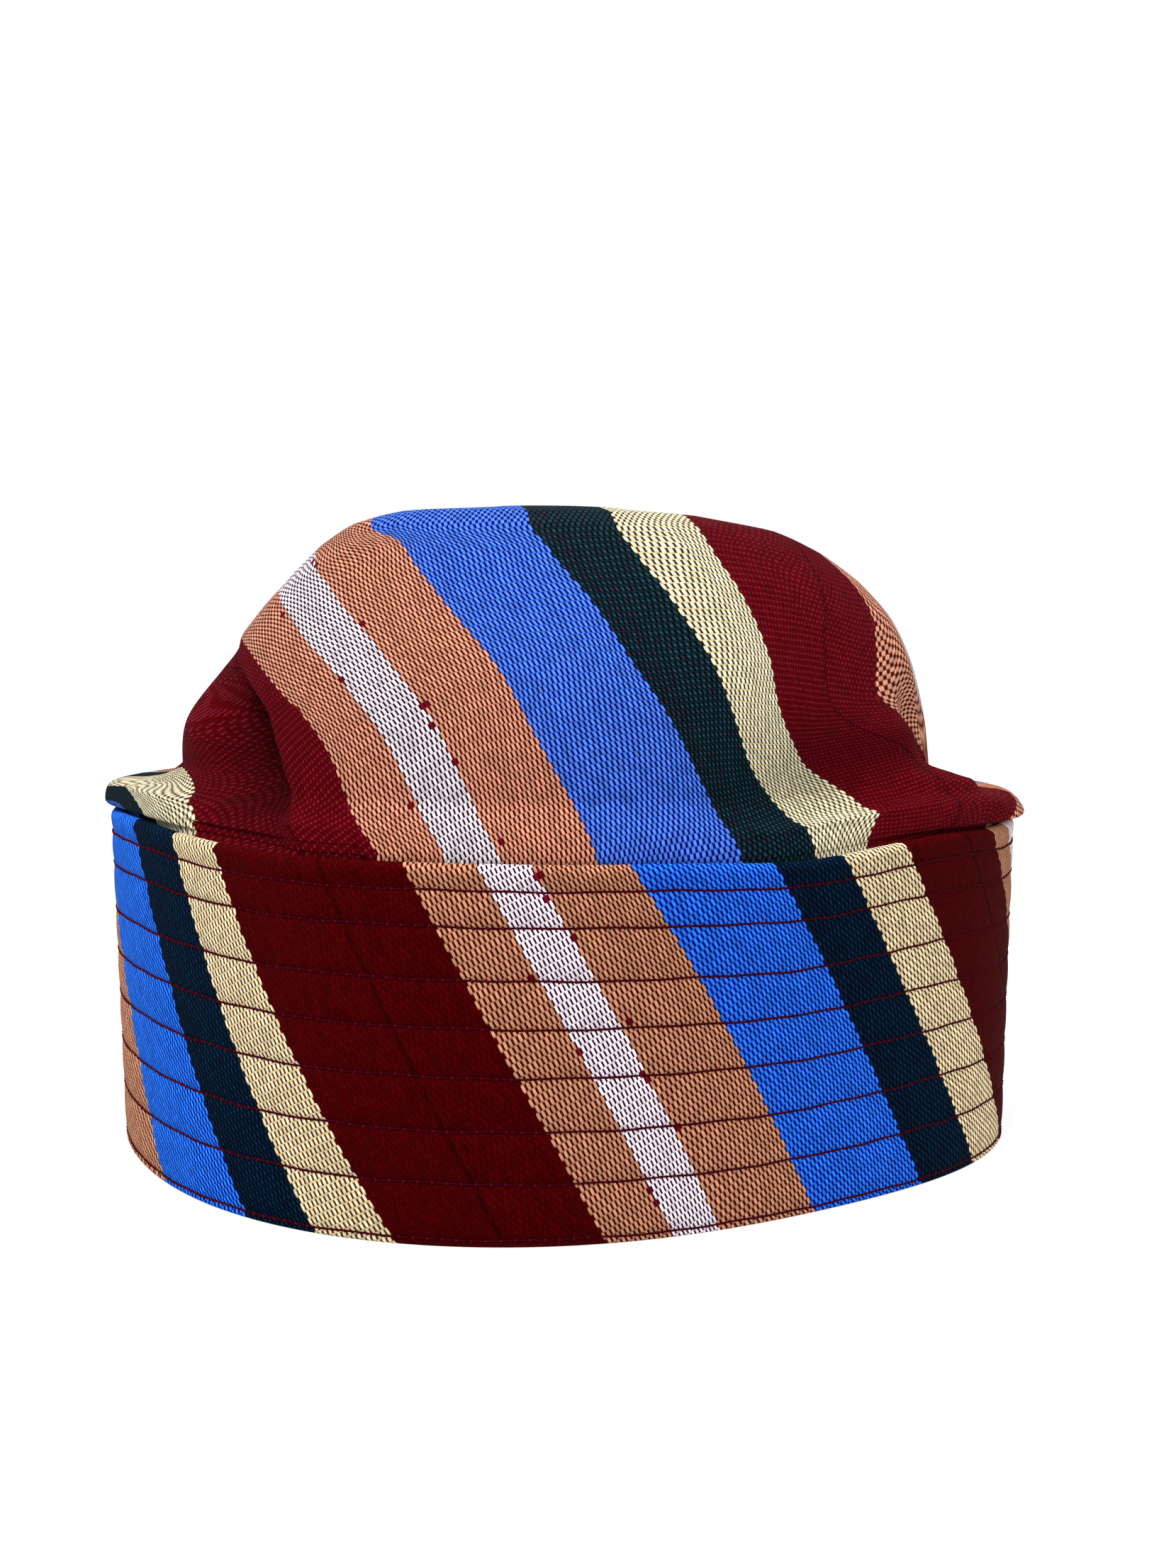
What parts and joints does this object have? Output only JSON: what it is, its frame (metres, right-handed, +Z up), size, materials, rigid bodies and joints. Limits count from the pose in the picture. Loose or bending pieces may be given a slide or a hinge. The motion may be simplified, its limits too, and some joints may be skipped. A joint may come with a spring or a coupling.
{
  "type": "fila cap",
  "caption": "Soft brimless cloth cap: a folded, creased crown stands inside a stiff quilted band, open underneath for the head.",
  "frame": {"origin": "middle of the cap's box, on the surface that it rests on", "axes": "+Z up out of the crown, -Y towards the front of the cap, where the crown is fullest"},
  "size_m": [0.2006, 0.1922, 0.1353],
  "materials": {
    "band_cloth": "quilted striped hand-woven cloth",
    "crown_cloth": "soft striped hand-woven cloth"
  },
  "bodies": {
    "root": {"band": "band_cloth", "crown": "crown_cloth"}
  },
  "joints": []
}
